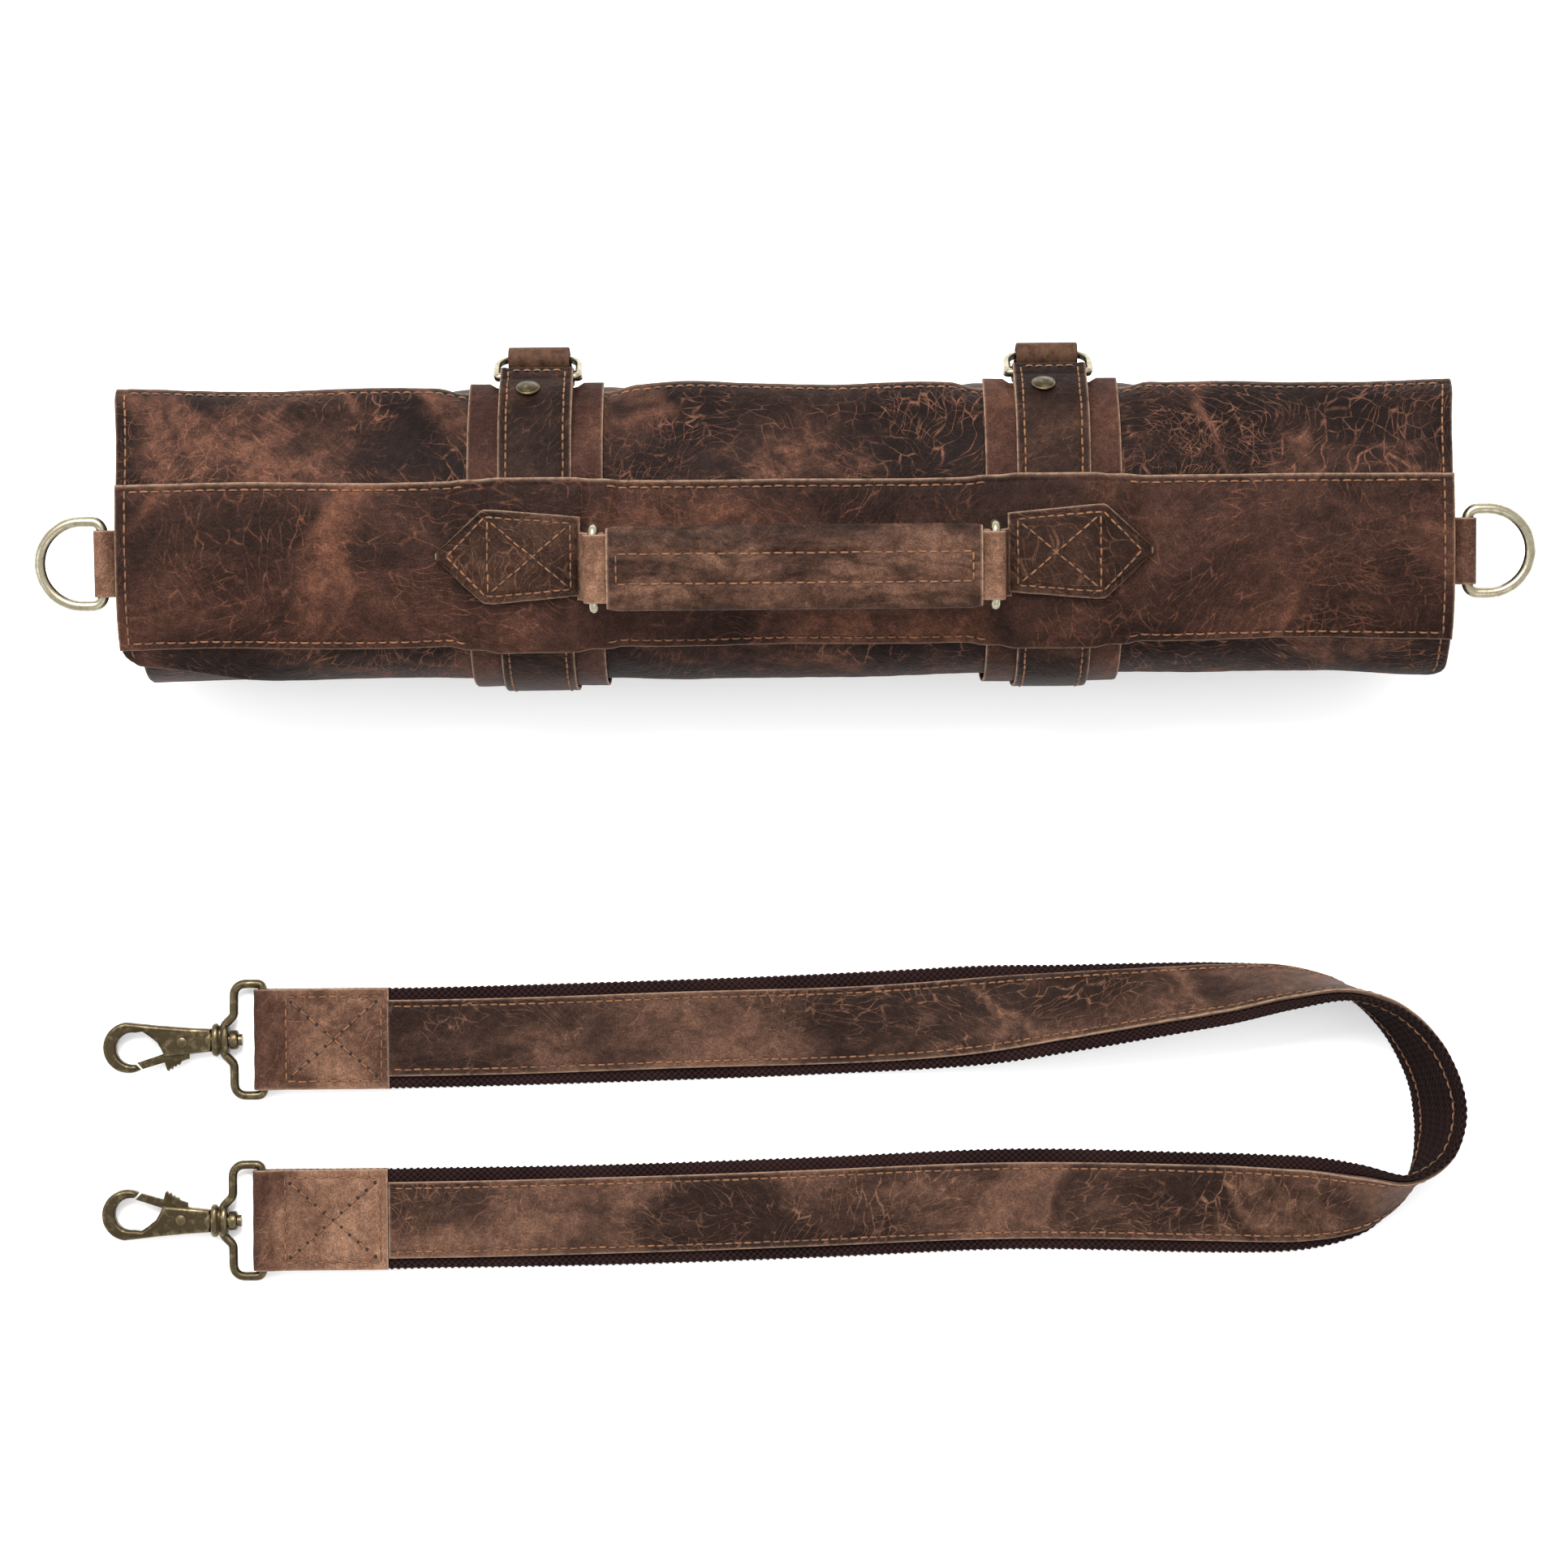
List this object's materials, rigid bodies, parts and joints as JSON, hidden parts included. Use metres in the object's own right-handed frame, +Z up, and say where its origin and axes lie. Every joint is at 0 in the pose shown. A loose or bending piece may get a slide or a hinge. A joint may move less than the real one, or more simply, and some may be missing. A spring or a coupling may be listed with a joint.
{
  "type": "brush roll case",
  "caption": "Rolled leather brush case with a carry handle on a sewn band, strap-and-ring closures, end D-rings and a detachable shoulder strap with swivel snap hooks.",
  "frame": {"origin": "middle of the object's footprint, on the table that the roll and the strap lie on", "axes": "+X along the roll, +Y from the shoulder strap towards the roll, +Z up"},
  "size_m": [0.5306, 0.342, 0.1142],
  "materials": {
    "cover_leather": "distressed pull-up leather, dark brown with rust-brown veins",
    "band_leather": "smooth pull-up leather, red-brown",
    "strap_leather": "worn mid-brown leather with raw edges",
    "closure_leather": "smooth red-brown leather",
    "grip_leather": "waxy tan-brown leather with pale raw edges",
    "canvas": "plain cotton canvas",
    "webbing": "coarse woven cotton webbing, dark brown",
    "ring_brass": "pale antique brass, satin",
    "hook_brass": "dark antique brass with worn edges"
  },
  "bodies": {
    "case": {"outer_cover": "cover_leather", "canvas_lining": "canvas", "pocket_panel": "closure_leather", "inner_flap": "cover_leather", "handle_band": "band_leather", "closure_backing_left": "closure_leather", "closure_backing_right": "closure_leather", "closure_strap_left": "strap_leather", "closure_strap_right": "strap_leather", "closure_tail_left": "closure_leather", "closure_tail_right": "closure_leather", "closure_rivet_left": "hook_brass", "closure_rivet_right": "hook_brass", "handle_patch_left": "closure_leather", "handle_patch_right": "closure_leather", "end_tab_left": "strap_leather", "end_tab_right": "strap_leather"},
    "handle_ring_left": {"handle_ring_left": "ring_brass"},
    "handle": {"handle_core": "strap_leather", "handle_grip": "grip_leather"},
    "handle_ring_right": {"handle_ring_right": "ring_brass"},
    "end_ring_left": {"end_d_ring_left": "ring_brass"},
    "end_ring_right": {"end_d_ring_right": "ring_brass"},
    "closure_ring_left_upper": {"closure_ring_left_upper": "ring_brass"},
    "closure_ring_left_lower": {"closure_ring_left_lower": "ring_brass"},
    "closure_ring_right_upper": {"closure_ring_right_upper": "ring_brass"},
    "closure_ring_right_lower": {"closure_ring_right_lower": "ring_brass"},
    "shoulder_strap": {"strap_webbing": "webbing", "strap_leather": "strap_leather", "strap_end_patch_upper": "strap_leather", "strap_end_patch_lower": "strap_leather"},
    "swivel_upper": {"swivel_loop_upper": "hook_brass"},
    "hook_upper": {"hook_body_upper": "hook_brass", "gate_pin_upper": "hook_brass", "gate_spring_upper": "hook_brass"},
    "gate_upper": {"trigger_gate_upper": "hook_brass"},
    "swivel_lower": {"swivel_loop_lower": "hook_brass"},
    "hook_lower": {"hook_body_lower": "hook_brass", "gate_pin_lower": "hook_brass", "gate_spring_lower": "hook_brass"},
    "gate_lower": {"trigger_gate_lower": "hook_brass"}
  },
  "joints": [
    {"name": "handle_ring_left_swing", "type": "hinge", "parent": "case", "child": "handle_ring_left", "pos_m": [-0.0668, 0.0891, 0.09867], "axis": [0, 0.9925, 0.1219], "range_deg": [-25, 25]},
    {"name": "handle_swing", "type": "hinge", "parent": "handle_ring_left", "child": "handle", "pos_m": [-0.0668, 0.08788, 0.10859], "axis": [0, 0.9925, 0.1219], "range_deg": [-25, 25]},
    {"name": "handle_ring_right_swing", "type": "hinge", "parent": "case", "child": "handle_ring_right", "pos_m": [0.0732, 0.0891, 0.09867], "axis": [0, 0.9925, 0.1219], "range_deg": [-25, 25]},
    {"name": "end_ring_left_swing", "type": "hinge", "parent": "case", "child": "end_ring_left", "pos_m": [-0.241, 0.0926, 0.0845], "axis": [0, 0.9959, 0.0906], "range_deg": [-90, 90]},
    {"name": "end_ring_right_swing", "type": "hinge", "parent": "case", "child": "end_ring_right", "pos_m": [0.241, 0.0926, 0.0845], "axis": [0, 0.9959, 0.0906], "range_deg": [-90, 90]},
    {"name": "closure_ring_left_upper_swing", "type": "hinge", "parent": "case", "child": "closure_ring_left_upper", "pos_m": [-0.088, 0.1592, 0.0662], "axis": [1, 0, 0], "range_deg": [0, 5]},
    {"name": "closure_ring_left_lower_swing", "type": "hinge", "parent": "case", "child": "closure_ring_left_lower", "pos_m": [-0.088, 0.1592, 0.061], "axis": [1, 0, 0], "range_deg": [0, 5]},
    {"name": "closure_ring_right_upper_swing", "type": "hinge", "parent": "case", "child": "closure_ring_right_upper", "pos_m": [0.095, 0.1592, 0.0662], "axis": [1, 0, 0], "range_deg": [0, 5]},
    {"name": "closure_ring_right_lower_swing", "type": "hinge", "parent": "case", "child": "closure_ring_right_lower", "pos_m": [0.095, 0.1592, 0.061], "axis": [1, 0, 0], "range_deg": [0, 5]},
    {"name": "shoulder_strap_lift", "type": "slide", "parent": "case", "child": "shoulder_strap", "axis": [0, 0, 1], "range_m": [0, 0.15]},
    {"name": "swivel_upper_swing", "type": "hinge", "parent": "shoulder_strap", "child": "swivel_upper", "pos_m": [-0.1964, -0.081, 0.0044], "axis": [0, 1, 0], "range_deg": [-90, 90]},
    {"name": "hook_upper_spin", "type": "hinge", "parent": "swivel_upper", "child": "hook_upper", "pos_m": [-0.2154, -0.081, 0.0044], "axis": [1, 0, 0], "continuous": true},
    {"name": "gate_upper_open", "type": "hinge", "parent": "hook_upper", "child": "gate_upper", "pos_m": [-0.2265, -0.0816, 0.0044], "axis": [0, 0, -1], "range_deg": [0, 25], "stiffness_Nm_per_rad": 0.02, "springref_deg": -8.59},
    {"name": "swivel_lower_swing", "type": "hinge", "parent": "shoulder_strap", "child": "swivel_lower", "pos_m": [-0.1974, -0.1485, 0.0044], "axis": [0, 1, 0], "range_deg": [-90, 90]},
    {"name": "hook_lower_spin", "type": "hinge", "parent": "swivel_lower", "child": "hook_lower", "pos_m": [-0.2164, -0.1485, 0.0044], "axis": [1, 0, 0], "continuous": true},
    {"name": "gate_lower_open", "type": "hinge", "parent": "hook_lower", "child": "gate_lower", "pos_m": [-0.2275, -0.1479, 0.0044], "axis": [0, 0, 1], "range_deg": [0, 25], "stiffness_Nm_per_rad": 0.02, "springref_deg": -8.59}
  ],
  "couplings": [
    {"joint": "handle_swing", "follows": "handle_ring_left_swing", "ratio": -1},
    {"joint": "handle_ring_right_swing", "follows": "handle_ring_left_swing", "ratio": 1}
  ]
}
